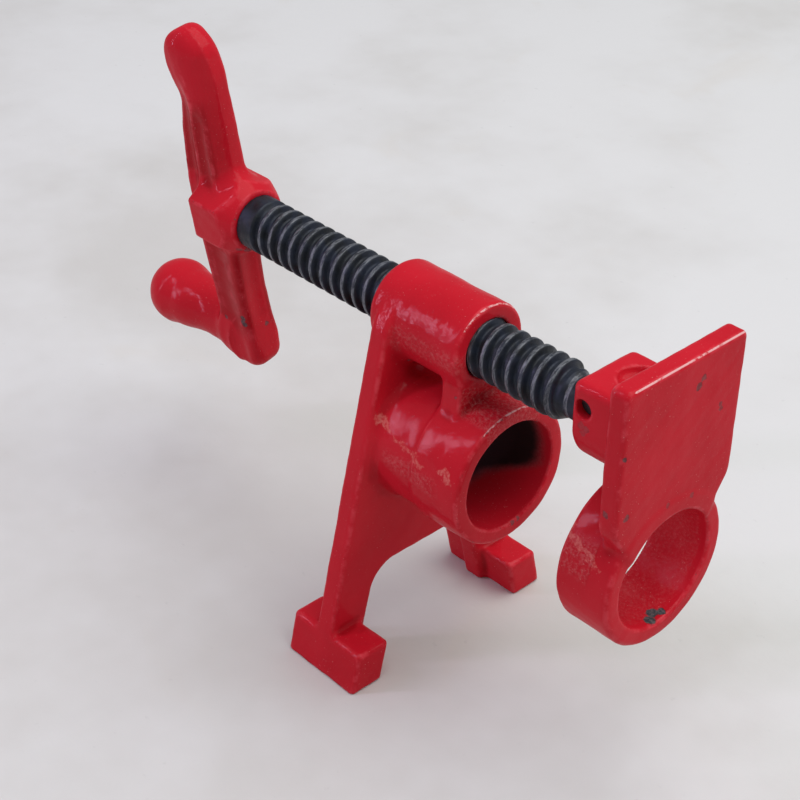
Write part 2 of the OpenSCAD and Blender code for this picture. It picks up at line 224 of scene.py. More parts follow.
class SteelLook(bpy.types.PropertyGroup):
    black: colour("Black", "The screw's black finish", (0.010, 0.012, 0.016))
    # The pale crests are rubbed wear and a painted highlight.
    worn: colour("Worn", "The screw's rubbed crests", (0.24, 0.25, 0.27))
    blue: colour("Blue", "The bluish film on the flanks", (0.016, 0.021, 0.036))
    pin: colour("Pin", "The plain steel of the pins", (0.07, 0.07, 0.075))
    pin_streak: colour("Pin streaks", "The darker streaks along the pins", (0.05, 0.05, 0.055))


class StageLook(bpy.types.PropertyGroup):
    floor: colour("Floor", "The pale floor", (0.675, 0.67, 0.66))
    stain: colour("Stain", "The floor's faint stains", (0.56, 0.545, 0.52))
    patch: colour("Patches", "The floor's small patches", (0.60, 0.56, 0.50))
    pit: colour("Pits", "The floor's pits", (0.45, 0.44, 0.43))
    reach: length("Reach", "Half the length of the floor's side", 4.0)
    sky: colour("Sky", "The soft light from all round", (0.80, 0.83, 0.88))
    sky_strength: ratio("Sky strength", "Strength of that soft light", 0.46)
    backdrop: colour("Backdrop", "What the camera sees past the floor", (0.72, 0.71, 0.70))
    camera_at: place("Camera", "Where the camera stands", (0.208526, -0.230833, 0.225405))
    camera_right: direction("Camera right", "The picture's right side", (0.68202, 0.73127, 0.00948))
    camera_up: direction("Camera up", "The picture's top", (-0.40942, 0.37103, 0.83350))
    lens: number("Lens", "Focal length in millimetres", 77.92)


# Turns of the screw's sheet past its two faces, and its steps and rows to a turn
SPARE_TURNS = 5.0
STEPS_PER_TURN = 56.0
ROWS_PER_TURN = 22.0
# Shares of the pitch from the middle of a crest to its shoulder and to its foot
CREST_TOP = 0.10
CREST_FOOT = 0.36
# The thread's fade-in, the collar's step, a radius past the screw's and the weld, in metres
FADE_L = 0.0016
COLLAR_L = 0.0002
WIDE_R = 0.02
MERGE_WITHIN = 4e-6


def in_mm(group):
    """The lengths of a property group, in millimetres."""
    return SimpleNamespace(**{k: getattr(group, k) * MM for k in type(group).__annotations__})


# ---- Shapes as fields: the distance to the skin in mm, negative inside ----

# In mm: how far a worn edge's wear and its painted glint reach, and how far apart the skin's turn is
# measured for edges and for hollows
WORN_GLINT_REACH = 0.9
EDGE_REACH = 0.7
HOLLOW_REACH = 2.2
# The castings' unevenness: height and length in mm, and start
HEAD_WAVES = ((0.09, 17, 0.4), (0.05, 6, 1.9))
JAW_WAVES = ((0.07, 15, 2.4), (0.05, 5.5, 0.7))
CRANK_WAVES = ((0.08, 14, 1.1), (0.04, 5, 2.9))


def within(value, low, high):
    return np.maximum(low - value, value - high)


def round_max(a, b, r):
    """What a and b share, its edge rounded to radius r."""
    corner = np.hypot(np.maximum(a + r, 0), np.maximum(b + r, 0))
    return np.minimum(-r, np.maximum(a, b)) + corner


def fillet_min(a, b, r):
    """a and b joined, with a fillet of radius r between them."""
    corner = np.hypot(np.maximum(r - a, 0), np.maximum(r - b, 0))
    return np.maximum(r, np.minimum(a, b)) - corner


def ease(value, low, high):
    """From 0 at low to 1 at high, with soft ends."""
    t = np.clip((value - low) / (high - low), 0, 1)
    return t * t * (3 - 2 * t)


def uneven(skin, x, y, z, waves):
    """The skin with sand-cast iron's slow waves: each one's height, length and start."""
    for height, reach, turn in waves:
        k = 2 * math.pi / reach
        a = np.sin(k * (0.9 * x + 0.4 * y) + turn) * np.sin(k * (0.8 * z - 0.3 * x) + 2.1 * turn)
        b = np.sin(k * (1.1 * y - 0.6 * z) + 1.3 * turn) * np.cos(k * (0.5 * x + 0.7 * z) - turn)
        skin = skin + height * ((a + b) / 2)
    return skin


def head_field(s):
    floor = HEAD_LOW.z * MM
    half_stance = HEAD_HIGH.y * MM
    crown_top = HEAD_HIGH.z * MM
    front = PLATE_BACK + s.plate_t
    boss_r = BORE_R + s.pipe_boss_wall
    # The crown touches both sides, and its top is flush with the screw boss.
    stretch = math.hypot(1, s.side_lean)
    crown_r = (half_stance - s.side_lean * (crown_top - floor)) / (stretch - s.side_lean)
    foot_mid = (PLATE_BACK + front) / 2 + s.foot_shift
    boss_root = PLATE_BACK + s.plate_t / 2
    rib_front = -s.setback - 0.25
    rib_foot = boss_r / 3
    crown_start, crown_flatness = -6, 150
    bore_lip_r, hole_lip_r = 0.45, 0.35

    def field(x, y, z):
        side = np.abs(y)
        up = s.side_lean * (z - floor)
        flank = (side + up - half_stance) / stretch
        outline = round_max(flank, z - crown_top, 0.99 * crown_r)
        foot_inner = (half_stance - s.foot_w - up - side) / stretch
        foot = round_max(within(x, foot_mid - s.foot_l / 2, foot_mid + s.foot_l / 2),
                         z - floor - s.foot_h, s.edge_r)
        foot = round_max(foot, foot_inner, s.edge_r)
        body = fillet_min(within(x, PLATE_BACK, front), foot, 1.5)
        body = round_max(body, outline, s.edge_r)
        arch = round_max((side + up + s.leg_w - half_stance) / stretch,
                         z - floor - s.arch_h, s.arch_corner_r)
        body = round_max(body, -arch, 1.0)
        body = round_max(body, floor - z, 0.6)
        step = s.band_h * (1 - ease(x, rib_front - s.rib_t - 0.7, rib_front - s.rib_t + 0.4))
        # The front of the boss is slightly crowned, as a drafted casting is.
        crown = np.maximum(x - crown_start, 0)**2 / crown_flatness
        away = np.hypot(y, z)
        from_screw = np.hypot(y, z - RISE)
        tube = round_max(away - boss_r + step + crown, within(x, boss_root, 0), s.rim_r)
        boss = round_max(from_screw - s.screw_boss_r, x + s.setback, s.rim_r)
        boss = round_max(boss, PLATE_BACK - s.boss_rear - x, s.rear_r)
        bow = s.rib_side_r - np.sqrt(np.maximum(s.rib_side_r**2 - (z - s.waist_z)**2, 1))
        rib = np.maximum(side - s.rib_waist / 2 - bow, within(z, rib_foot, RISE))
        rib = round_max(rib, within(x, rib_front - s.rib_t, rib_front), 0.9)
        web = np.maximum(side - s.web_t / 2, within(z, 0, RISE))
        web = np.maximum(web, within(x, boss_root, rib_front - s.rib_t / 2))
        skin = fillet_min(body, tube, s.fillet_r)
        # The fillet dies out over the crown, where the boss and the plate are nearly flush.
        upper_r = s.fillet_r - (s.fillet_r - 0.4) * ease(z, RISE - 4, RISE + 3)
        skin = fillet_min(skin, boss, upper_r)
        skin = fillet_min(skin, rib, 0.9)
        skin = fillet_min(skin, web, 1.8)
        skin = uneven(skin, x, y, z, HEAD_WAVES)
        turn = np.arctan2(z, y) / (2 * math.pi)
        tooth = np.abs((x / s.pipe_thread_pitch + turn) % 1 - 0.5) * 2
        cut = THREAD_BORE_R + s.pipe_thread_h * tooth
        bore = np.maximum(away - BORE_R, PLATE_BACK + THREAD_BORE_L - x)
        bore = np.minimum(away - cut, bore)
        skin = round_max(skin, -bore, bore_lip_r)
        return round_max(skin, s.screw_hole_r - from_screw, hole_lip_r)

    return field


def head_marks(s):
    """Where the head's paint stops in the bore and gives way to bare iron and painted shade, where it is rough,
    and where its rims are worn with a painted glint.
    """

    def marks(x, y, z):
        away = np.hypot(y, z)
        from_screw = np.hypot(y, z - RISE)
        # Paint reaches further in along the bottom. Past its end the bore is dark: bare iron, and painted shade
        # that comes nearer the front at the top.
        paint_end = -0.5 + 14 * ease(-z / BORE_R, 0.25, 1.0)
        bare = ease(-x, paint_end, paint_end + 8) * (away < BORE_R + 0.35)
        below_hole = ease(RISE - z, 6, 9) * ease(z, 6, 12) * ease(x, -10, -8.6)
        below_hole = below_hole * ease(-np.abs(y), -9, -7)
        turn = np.degrees(np.arctan2(z - RISE, -y))
        on_boss = ease(-np.abs(turn + 4), -26, -6) * ease(x, -30, -26) * (from_screw < 12)
        turn = np.degrees(np.arctan2(z, -y))
        on_tube = ease(-np.abs(turn - 4), -15, -4) * (away > 16)
        on_tube = on_tube * ease(x, -26, -22) * ease(-x, 3, 8)
        # The bosses' front rims are worn pale, with a painted glint.
        pipe_rim = np.abs(BORE_R + s.pipe_boss_wall + x - away) + 3 * ease(-z, -15, -11)
        screw_rim = np.abs(s.screw_boss_r + s.setback + x - from_screw)
        screw_rim = screw_rim + 3 * ease(RISE - z, -7, -3)
        worn = np.clip(1 - np.minimum(pipe_rim, screw_rim) / WORN_GLINT_REACH, 0, 1)
        return {"bare": bare, "rough": np.maximum(below_hole, 0.7 * np.maximum(on_boss, on_tube)),
                "worn": worn}

    return marks


def jaw_field(s):
    front = JAW_HIGH.x * MM
    back = JAW_LOW.x * MM
    top = JAW_HIGH.z * MM
    half_w = s.plate_w / 2
    ring_out_r = -JAW_LOW.z * MM
    plate_back = front - s.plate_t
    low = top - s.plate_h
    slant = Vector((low - s.notch_z, s.notch_y - half_w)).normalized()
    # The middle of the dent: back from the plate, and to the far side
    dent_back, dent_y = 5.6, 1.2
    half_block = s.block_w / 2

    def field(x, y, z):
        side = np.abs(y)
        outline = round_max(side - half_w, z - top, s.corner_r)
        outline = round_max(outline, (side - half_w) * slant.x + (z - low) * slant.y, 1.5)
        plate = round_max(np.maximum(outline, -z), within(x, plate_back, front), s.edge_r)
        ring_front = front - s.ring_inset
        away = np.hypot(y, z)
        from_screw = np.hypot(y, z - RISE)
        ring = round_max(away - ring_out_r, within(x, front - s.ring_l, ring_front), 1.2)
        skin = fillet_min(plate, ring, 1.3)
        upper = round_max(side - half_block, z - RISE - s.block_top, s.block_edge_r)
        block = np.where(z > RISE, upper, from_screw - half_block)
        block = round_max(block, within(x, back, front - 2), s.block_edge_r)
        skin = fillet_min(skin, block, s.fillet_r)
        dent = np.sqrt(((x - plate_back + dent_back) / s.dent_l)**2 + ((y - dent_y) / s.dent_w)**2
                       + ((z - RISE - s.block_top) / s.dent_depth)**2)
        dent = np.maximum((dent - 1) * s.dent_depth, x - plate_back + 0.4)
        skin = round_max(skin, -dent, 0.35)
        skin = uneven(skin, x, y, z, JAW_WAVES)
        # The ring's bore is drafted, a little narrower at its back.
        draft = 0.45 * ease(front - s.ring_l * 0.5 - x, 0, s.ring_l * 0.5)
        lip_r = np.where(x > front - s.ring_l / 2, 0.8, 0.25)
        skin = round_max(skin, RING_R - draft - away, lip_r)
        socket = np.maximum(from_screw - s.socket_r, x - back - s.socket_l)
        skin = round_max(skin, -socket, 0.5)
        pin = np.hypot(x - s.pin_x, z - RISE - s.pin_rise) - s.pin_hole_r
        return round_max(skin, -pin, 0.4)

    return field


def jaw_marks(s):
    """Where the jaw's paint is rough, and where its top edge is worn with a painted glint."""
    front = JAW_HIGH.x * MM
    top = JAW_HIGH.z * MM

    def marks(x, y, z):
        away = np.hypot(y, z)
        within_ring = (away < RING_R + 0.4) * ease(front - x, 0.8, 3)
        turn = np.degrees(np.arctan2(z, -y))
        outside = ease(-np.abs(turn - 22), -22, -8) * (away > RING_R + 3) * (x < front - 6)
        # The plate's top front edge is worn pale, with a painted glint.
        top_edge = np.abs(front - x - top + z) + 3 * (x < front - 2)
        top_edge = top_edge + 3 * ease(-y, s.plate_w / 2 - 2.5, s.plate_w / 2 - 1)
        worn = np.clip(1 - top_edge / WORN_GLINT_REACH, 0, 1)
        return {"rough": np.maximum(0.5 * within_ring, 0.8 * outside), "worn": worn}

    return marks


def smooth_line(stations, reach):
    """A function through the stations (place, value), its corners softened over reach."""
    places = np.linspace(stations[0][0] - reach, stations[-1][0] + reach, 600)
    values = np.interp(places, *zip(*stations))
    n = max(int(reach / (places[1] - places[0])) // 2, 1)
    window = np.hanning(2 * n + 3)[1:-1]
    padded = np.concatenate([np.full(n, values[0]), values, np.full(n, values[-1])])
    soft = np.convolve(padded, window / window.sum(), mode="valid")
    return lambda at: np.interp(at, places, soft)


def crank_field(s):
    """The crank upright, before its turn about the screw. z is measured from the screw's axis."""
    hex_r = s.hub_flats / 2
    corner_r = hex_r / math.cos(math.radians(30))
    taper = (corner_r - s.cone_r) / (s.cone_front - s.hub_front)
    half_w = s.arm_w / 2
    # Where the arm's back, its front and the ridge along its front stand at each height
    back_line = smooth_line([(-51, -102.5), (-45, -104.9), (-38, -105.6), (-24, -106.3), (-10, -106.7),
                             (9, -107.0), (21, -105.5), (30, -103.8), (35, -104.8), (39, -106.1),
                             (45, -106.6), (50, -105.8)], 4)
    front_line = smooth_line([(-51, -93.0), (-46, -92.0), (-41, -92.4), (-34, -93.6), (-26, -94.2),
                              (-12, -93.6), (12, -93.0), (26, -93.0), (36, -93.2), (43, -94.2),
                              (50, -95.4)], 6)
    ridge_line = smooth_line([(-51, -3.4), (-9, -3.4), (6, 0.4), (35, 0.4), (46, -0.6)], 4)
    # The neck leaves the ball about 65 degrees from the handle's axis, and ends inside the arm.
    wide_r = 0.906 * s.ball_r
    ball_seat = s.ball_x + 0.423 * s.ball_r
    neck_end, hole_back = -102, -100.7
    # The lower arm's groove and side hollows: how far out their middles lie, and their radii
    groove_out, groove_r = 2.2, 2.9
    hollow_out, hollow_r = 9.3, 10.0

    def hexagon(y, z):
        slanted = math.cos(math.radians(30)) * np.abs(z) + 0.5 * np.abs(y)
        return round_max(np.abs(y) - hex_r, slanted - hex_r, 0.5)

    def field(x, y, z):
        side = np.abs(y)
        upper = ease(z, -8, 8)
        # The front falls away on both sides of its ridge, less on the far side.
        out = y - ridge_line(z)
        far = out > 0
        slope = np.where(far, 0.10, 0.10 + 0.16 * upper + 0.22 * ease(z, 30, 42))
        swell = np.where(far, 0.01 * upper, 0.105 * upper)
        out = np.abs(out)
        face = x - front_line(z) + slope * out + swell * out**2
        face = face / np.sqrt(1 + (slope + 2 * swell * out)**2)
        end_r = s.end_r + 1.5 * upper
        arm = round_max(back_line(z) - x, np.maximum(z - s.upper_l, -z - s.lower_l), end_r)
        arm = round_max(arm, face, end_r)
        width = half_w - 0.2 * ease(np.abs(z), 10, 30) + 0.3 * ease(np.abs(z), 34, 42)
        edge_r = s.edge_r + 2.1 * ease(np.abs(z), 36, 47)
        arm = round_max(arm, side - width, edge_r)
        middle = (back_line(z) + front_line(z)) / 2 - 1.2
        # Each side of the upper arm has two flutes. The one nearer the front ends lower.
        for flute_x, end in ((middle - s.flute_gap, 31), (middle + s.flute_gap, 25)):
            reach = ease(z, 5, 9) * (1 - ease(z, end, end + 7))
            flute = np.hypot(x - flute_x, side - half_w - s.flute_r + s.flute_depth) - s.flute_r
            arm = round_max(arm, -flute - 1.5 * (1 - reach), 1.0)
        # The lower arm has a groove along its front and a wide hollow in each side.
        low_reach = ease(-z, 8, 12) * (1 - ease(-z, 32, 39))
        groove = np.hypot(x - front_line(z) - groove_out, y - 0.4) - groove_r
        arm = round_max(arm, -groove - 2 * (1 - low_reach), 0.8)
        hollow = np.hypot(x - middle - 0.6, side - half_w - hollow_out) - hollow_r
        arm = round_max(arm, -hollow - 1.2 * (1 - low_reach), 0.5)
        hub = round_max(hexagon(y, z), within(x, s.hub_back, s.cone_front), 0.6)
        cone = np.hypot(y, z) - s.cone_r - taper * (s.cone_front - x)
        hub = round_max(hub, cone / math.hypot(1, taper), 0.5)
        skin = fillet_min(arm, hub, s.fillet_r + 1.8 * ease(x, -98, -94))
        from_axis = np.hypot(y, z + s.throw)
        ball = np.sqrt((x - s.ball_x)**2 + from_axis**2) - s.ball_r
        t = np.clip((x - ball_seat) / (s.neck_x - ball_seat), 0, 1)
        neck = from_axis - s.neck_r - (wide_r - s.neck_r) * (1 + np.cos(math.pi * t)) / 2
        neck = np.maximum(neck * 0.97, within(x, ball_seat - 0.5, neck_end))
        handle = fillet_min(ball, neck, 0.6)
        skin = fillet_min(skin, handle, 3.6)
        skin = uneven(skin, x, y, z, CRANK_WAVES)
        hole = np.maximum(np.hypot(y, z) - s.hub_hole_r, hole_back - x)
        return round_max(skin, -hole, 0.3)

    return field


def crank_marks(s):
    """Painted shade: in the upper arm's flutes, and on the lower arm's sides, which the hub and handle shade."""

    def marks(x, y, z):
        out = np.abs(y)
        flutes = ease(z, 9, 11) * (1 - ease(z, 27, 33)) * ease(-x, 94, 96) * ease(-out, -4.45, -4.1)
        lower = ease(-z, 9, 12) * (1 - ease(-z, 33, 40)) * ease(x, -107.5, -106.5)
        lower = lower * ease(-out, -4.9, -4.6)
        return {"deep": ease(out, 2.6, 3.2) * np.maximum(flutes, lower)}

    return marks


# ---- Skins ----

def surface_net(field, low, high, step):
    """Points and quads of the skin where the field is zero, one point in each cell it crosses."""
    axes = [np.arange(a, b + step, step) for a, b in zip(low, high)]
    shape = tuple(len(a) for a in axes)
    values = np.broadcast_to(field(*np.ix_(*axes)), shape)
    inside = values < 0
    count = sum(inside[i:shape[0] - 1 + i, j:shape[1] - 1 + j, k:shape[2] - 1 + k].astype(np.int8)
                for i in (0, 1) for j in (0, 1) for k in (0, 1))
    crossed = (count > 0) & (count < 8)
    cells = np.argwhere(crossed)
    number = np.full(crossed.shape, -1)
    number[crossed] = np.arange(len(cells))
    unit = np.eye(3, dtype=int)
    total = np.zeros((len(cells), 3))
    crossings = np.zeros(len(cells))
    quads = []
    for axis in range(3):
        u, v = (axis + 1) % 3, (axis + 2) % 3
        for du, dv in ((0, 0), (0, 1), (1, 0), (1, 1)):
            start = cells + du * unit[u] + dv * unit[v]
            end = start + unit[axis]
            a, b = values[tuple(start.T)], values[tuple(end.T)]
            cut = (a < 0) != (b < 0)
            point = start.astype(float)
            point[:, axis] += np.where(cut, a / np.where(cut, a - b, 1), 0)
            total += point * cut[:, None]
            crossings += cut
        edges = np.argwhere(np.diff(inside, axis=axis))
        keep = (edges[:, u] > 0) & (edges[:, v] > 0)
        keep &= (edges[:, u] < shape[u] - 1) & (edges[:, v] < shape[v] - 1)
        edges = edges[keep]
        corners = [edges + du * unit[u] + dv * unit[v]
                   for du, dv in ((-1, -1), (0, -1), (0, 0), (-1, 0))]
        faces = np.stack([number[tuple(corner.T)] for corner in corners], 1)
        inward = ~inside[tuple(edges.T)]
        faces[inward] = faces[inward][:, ::-1]
        quads.append(faces)
    return np.array(low) + step * total / crossings[:, None], np.concatenate(quads)


def settle(field, points, step):
    """Moves the points along the field's slope until they lie on the skin."""
    h = 0.02
    for _ in range(3):
        slope = np.stack([(field(*(points + h * e).T) - field(*(points - h * e).T)) / (2 * h)
                          for e in np.eye(3)], 1)
        away = field(*points.T) / np.maximum((slope**2).sum(1), 0.05)
        move = away[:, None] * slope
        size = np.linalg.norm(move, axis=1, keepdims=True)
        points = points - move * np.minimum(1, 0.5 * step / np.maximum(size, 1e-9))
    return points


def bend(field, points, h):
    """How sharply the skin turns at the points: above 0 on edges, below 0 in hollows."""
    around = sum(field(*(points + h * e).T) + field(*(points - h * e).T) for e in np.eye(3))
    return (around - 6 * field(*points.T)) / h**2


def add_object(name, data):
    piece = bpy.data.objects.new(name, data)
    bpy.context.scene.collection.objects.link(piece)
    return piece


def cast_piece(name, field, marks, box, step, material, turn=None):
    """A casting from its field, with its edges, hollows and marks kept for the paint."""
    points, quads = surface_net(field, *box, step)
    points = settle(field, points, step)
    shades = {"edge": np.clip(bend(field, points, EDGE_REACH), 0, 1.5),
              "hollow": np.clip(-bend(field, points, HOLLOW_REACH), 0, 1), **marks(*points.T)}
    mesh = bpy.data.meshes.new(name)
    placed = points / MM
    if turn is not None:
        placed = np.c_[placed, np.ones(len(placed))] @ np.array(turn).T[:, :3]
    mesh.from_pydata(placed.tolist(), [], quads.tolist())
    mesh.polygons.foreach_set("use_smooth", np.ones(len(quads), bool))
    for shade, values in shades.items():
        attribute = mesh.attributes.new(shade, "FLOAT", "POINT")
        attribute.data.foreach_set("value", values.astype(np.float32))
    mesh.update()
    mesh.materials.append(material)
    return add_object(name, mesh)


# ---- Node trees ----

class Nodes:
    """A node tree that grows node by node."""

    def __init__(self, tree):
        self.tree = tree

    def add(self, kind, inputs=None, **settings):
        """A new node. A shader node's kind is its type without the prefix, as in Mix."""
        node = self.tree.nodes.new(kind if kind.startswith("GeometryNode") else "ShaderNode" + kind)
        for key, value in settings.items():
            setattr(node, key, value)
        for key, value in (inputs or {}).items():
            self.plug(node.inputs[key], value)
        return node

    def plug(self, socket, value):
        """Links the value if it is a socket, and otherwise writes it on the socket."""
        if isinstance(value, bpy.types.NodeSocket):
            self.tree.links.new(value, socket)
        else:
            socket.default_value = value

    def calc(self, operation, *values):
        return self.add("Math", dict(enumerate(values)), operation=operation).outputs[0]

    plus = partialmethod(calc, "ADD")
    minus = partialmethod(calc, "SUBTRACT")
    times = partialmethod(calc, "MULTIPLY")
    over = partialmethod(calc, "DIVIDE")
    least = partialmethod(calc, "MINIMUM")
    most = partialmethod(calc, "MAXIMUM")

    def band(self, value, low, high, to_low=0.0, to_high=1.0, kind="SMOOTHSTEP"):
        """value taken from low..high to to_low..to_high, with soft ends."""
        inputs = {"Value": value, "From Min": low, "From Max": high, "To Min": to_low,
                  "To Max": to_high}
        return self.add("MapRange", inputs, interpolation_type=kind).outputs["Result"]

    ramp = partialmethod(band, kind="LINEAR")


def rgba(values):
    return (*values, 1.0)


class Shader(Nodes):
    """A material's nodes."""

    def __init__(self, name):
        self.material = bpy.data.materials.new(name)
        self.material.use_nodes = True
        super().__init__(self.material.node_tree)
        self.surface = self.tree.nodes["Principled BSDF"]

    def set(self, **inputs):
        for key, value in inputs.items():
            self.plug(self.surface.inputs[key.replace("_", " ")], value)

    def place(self):
        return self.add("TexCoord").outputs["Object"]

    def stretched(self, vector, scale):
        return self.add("Mapping", {"Vector": vector, "Scale": scale}).outputs[0]

    def attribute(self, name):
        return self.add("Attribute", attribute_name=name).outputs["Fac"]

    def noise(self, vector, scale, detail=2.0, rough=0.5, distortion=0.0):
        return self.add("TexNoise", {"Vector": vector, "Scale": scale, "Detail": detail,
                                     "Roughness": rough, "Distortion": distortion}).outputs["Fac"]

    def mix(self, factor, a, b):
        """Colour a mixed with colour b. Each is a socket or three values."""
        a, b = (c if isinstance(c, bpy.types.NodeSocket) else rgba(c) for c in (a, b))
        # A Mix node has a socket of each name for every type. 6, 7 and 2 are the colours'.
        return self.add("Mix", {"Factor": factor, 6: a, 7: b}, data_type="RGBA").outputs[2]

    def bump(self, height, distance, strength, normal=None):
        inputs = {"Height": height, "Distance": distance, "Strength": strength}
        if normal is not None:
            inputs["Normal"] = normal
        return self.add("Bump", inputs).outputs["Normal"]

    def vector(self, operation, a, b):
        return self.add("VectorMath", {0: a, 1: b}, operation=operation)

    def warp(self, vector, scale, reach):
        """The vector pushed about by a noise, so that what is drawn with it is ragged."""
        swirl = self.add("TexNoise", {"Vector": vector, "Scale": scale, "Detail": 3.0})
        shift = self.vector("SUBTRACT", swirl.outputs["Color"], (0.5,) * 3).outputs[0]
        shift = self.vector("MULTIPLY", shift, (reach,) * 3).outputs[0]
        return self.vector("ADD", vector, shift).outputs[0]

    def spot(self, vector, centre, radius):
        """1 inside a spot round a place in mm, 0 outside."""
        away = self.vector("DISTANCE", vector, Vector(centre) / MM).outputs["Value"]
        return self.band(away, radius / MM, radius / MM * SPOT_CORE)


# ---- Materials ----

# Within this share of its radius a spot is whole.
SPOT_CORE = 0.72
# Half the width of a scuffed band, and the step between the spots that draw it, in mm
SCUFF_R = 1.3
SCUFF_STEP = 1.2

# Where the photographed paint is chipped: a place and a radius in mm, and how bare it is
HEAD_CHIPS = (((-26, -6.7, 21), 0.7, 0.6), ((0, 1.5, -13.8), 0.7, 0.6),
              ((0, 3.3, -13.6), 0.6, 0.6), ((-9.6, -8.3, 19.7), 0.5, 0.5))
JAW_CHIPS = (((44.4, 3.6, 43.6), 1.0, 0.65), ((44.4, 4.7, 45.0), 0.9, 0.6),
             ((44.4, 11.8, 34.9), 0.8, 0.5), ((44.4, 11.4, 36.0), 0.6, 0.5),
             ((44.4, -15.2, 21.1), 0.8, 0.6), ((44.3, -17.3, 36.1), 0.7, 0.8),
             ((44.6, -2.2, 17.8), 0.6, 0.4), ((44.6, 5.4, 16.7), 0.7, 0.4),
             ((41.5, -18.1, 21.9), 0.8, 0.6), ((42.6, -1.2, -14.0), 1.6, 1.0),
             ((41.4, 1.0, -13.9), 1.5, 1.0), ((42.4, 2.6, -13.8), 1.1, 1.0),
             ((26.4, -9.3, 31.2), 1.0, 0.3), ((27.8, -9.3, 30.8), 1.0, 0.35),
             ((27.0, -9.3, 29.6), 0.9, 0.3))
CRANK_CHIPS = (((-95.5, 0.6, -2.0), 1.0, 0.85), ((-95.5, 0.9, -3.6), 1.2, 0.85),
               ((-94.2, 7.2, -5.4), 0.8, 0.7), ((-102.7, 0.8, -4.8), 0.7, 0.6),
               ((-87.5, -5.2, 23.2), 1.0, 0.5), ((-86.7, -3.4, 22.9), 1.2, 0.6))
# Where it is scuffed pale: the two ends of a ragged band in mm
HEAD_SCUFFS = (((-29.0, -14.6, 9.6), (-20.5, -15.8, 7.0)), ((-19.5, -15.9, 6.6), (-11.2, -16.6, 4.6)),
               ((-5.2, -16.3, 6.2), (-3.0, -16.4, 4.8)))
JAW_SCUFFS = (((31.0, -15.0, 10.4), (39.2, -16.4, 7.0)),)


def enamel(name, look, chips, scuffs=()):
    """Thick glossy enamel over sand-cast iron: pooled in hollows, thin on edges, chipped, with painted shade in
    the crank's recesses and deep in the bore, and a painted glint on worn edges.
    """
    s = Shader(name)
    at = s.place()
    edge = s.attribute("edge")
    rough = s.attribute("rough")
    bare = s.attribute("bare")
    slow = s.noise(at, 42, 3)
    base = s.mix(s.band(slow, 0.35, 0.7, 0.0, 0.3), look.enamel, look.pooled)
    pooled = s.most(s.band(s.attribute("hollow"), 0.05, 0.6), s.attribute("deep"))
    # Darker where the enamel pools in hollows, and painted shade in the crank's flutes and lower arm.
    base = s.mix(s.times(pooled, 0.8), base, look.pooled)
    rub = s.noise(at, 320, 4, 0.65)
    thin = s.times(s.band(edge, 0.35, 1.1), s.band(rub, 0.4, 0.66))
    base = s.mix(s.times(thin, 0.6), base, look.thin)
    # Pale lines on the rims and the jaw's top edge: rubbed wear and a painted glint.
    worn_glint_noise = s.times(s.band(s.noise(at, 420, 4, 0.7), 0.36, 0.52), 0.85)
    base = s.mix(s.times(s.band(s.attribute("worn"), 0.58, 0.8), worn_glint_noise), base, look.worn)
    grit = s.noise(at, 1300, 3, 0.7)
    scuff = s.times(s.band(rough, 0.2, 0.9), s.band(grit, 0.4, 0.75))
    base = s.mix(s.times(scuff, 0.22), base, look.dust)
    speck = s.noise(at, 2600, 2, 0.5)
    dust = s.times(s.band(speck, 0.69, 0.76), s.band(slow, 0.4, 0.6, 0.1, 0.45))
    base = s.mix(dust, base, look.dust)

    ragged = s.noise(at, 1500, 3, 0.6)
    warped = s.warp(at, 900.0, 0.0013)
    smeared = s.warp(at, 420.0, 0.0046)
    chipped = s.times(s.band(edge, 0.9, 1.3), s.band(ragged, 0.65, 0.71))
    for centre, radius, strength in chips:
        chipped = s.most(chipped, s.times(s.spot(warped, centre, radius), strength))
    scuffed = 0.0
    for start, end in scuffs:
        start, end = Vector(start), Vector(end)
        steps = round((end - start).length / SCUFF_STEP)
        for i in range(steps + 1):
            scuffed = s.most(scuffed, s.spot(smeared, start.lerp(end, i / steps), SCUFF_R))
    rubbed = s.band(ragged, 0.36, 0.66, 0.05, 0.45)
    base = s.mix(s.times(scuffed, rubbed), base, look.scuffed)

    # The paint's end in the bore wanders with a slow noise. Past it the colour is bare iron and painted shade.
    wander = s.minus(s.noise(at, 260, 4, 0.6), 0.5)
    unpainted_and_shade = s.plus(bare, s.times(wander, 0.4))
    unpainted_and_shade = s.times(s.band(unpainted_and_shade, 0.05, 0.95), s.band(bare, 0.0, 0.1))
    iron = s.mix(s.band(ragged, 0.4, 0.6), look.iron, look.iron_light)
    off = s.most(chipped, unpainted_and_shade)
    s.set(Base_Color=s.mix(off, base, s.mix(unpainted_and_shade, iron, look.bore_iron_and_shade)))

    grain = s.times(s.band(s.noise(at, 170, 2), 0.3, 0.7), 0.1)
    s.set(Roughness=s.plus(s.times(off, 0.3), s.plus(look.roughness - 0.05, grain)))
    shine = s.minus(1.0, s.most(off, s.times(scuff, 0.7)))
    s.set(Coat_Weight=s.times(shine, look.gloss))
    s.set(Coat_Roughness=0.06, Coat_IOR=1.47, IOR=1.4, Specular_IOR_Level=0.03)

    waves = s.bump(s.noise(at, 115, 2, 0.4), 0.0007, 0.22)
    peel = s.bump(s.noise(at, 620, 2, 0.5), 0.00010, 0.55, waves)
    sand_h = s.times(grit, s.band(rough, 0.1, 0.9, 0.12, 1.0))
    sand = s.bump(sand_h, 0.00045, 0.8, peel)
    s.set(Normal=s.bump(s.minus(1.0, off), 0.00025, 0.8, sand))
    s.set(Coat_Normal=s.bump(sand_h, 0.00028, 0.7, peel))
    return s.material


